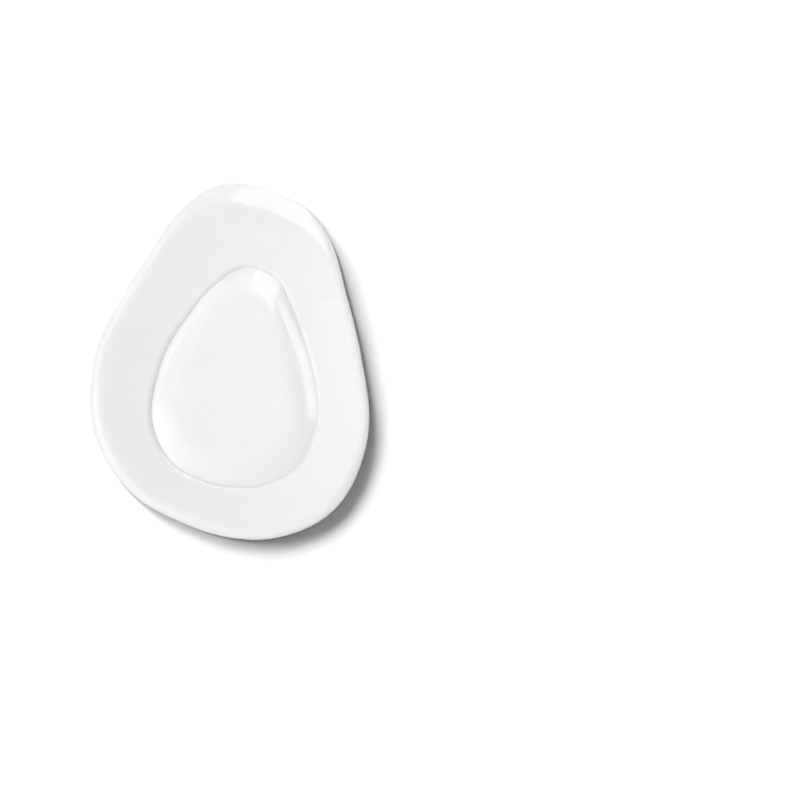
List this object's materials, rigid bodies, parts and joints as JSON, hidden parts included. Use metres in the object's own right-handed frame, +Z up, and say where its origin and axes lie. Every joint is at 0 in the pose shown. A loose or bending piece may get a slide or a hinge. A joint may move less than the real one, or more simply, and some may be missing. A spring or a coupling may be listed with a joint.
{
  "type": "metatarsal gel pad",
  "caption": "Clear gel pad for under the ball of the foot: a lopsided egg-shaped flange, rounded at the sides and tapering thin at the heel end, a low dome inside a narrow groove, and a flat underside.",
  "frame": {"origin": "middle of the pad's plan, on the flat underside", "axes": "+Z up out of the dome; +Y along the pad to its narrow end, towards the heel; +X across the pad to the side of the big toe"},
  "size_m": [0.058, 0.074, 0.0056],
  "materials": {
    "clear_gel": "clear to milky soft gel with a smooth, softly glossy skin"
  },
  "bodies": {
    "root": {"gel_pad": "clear_gel"}
  },
  "joints": []
}
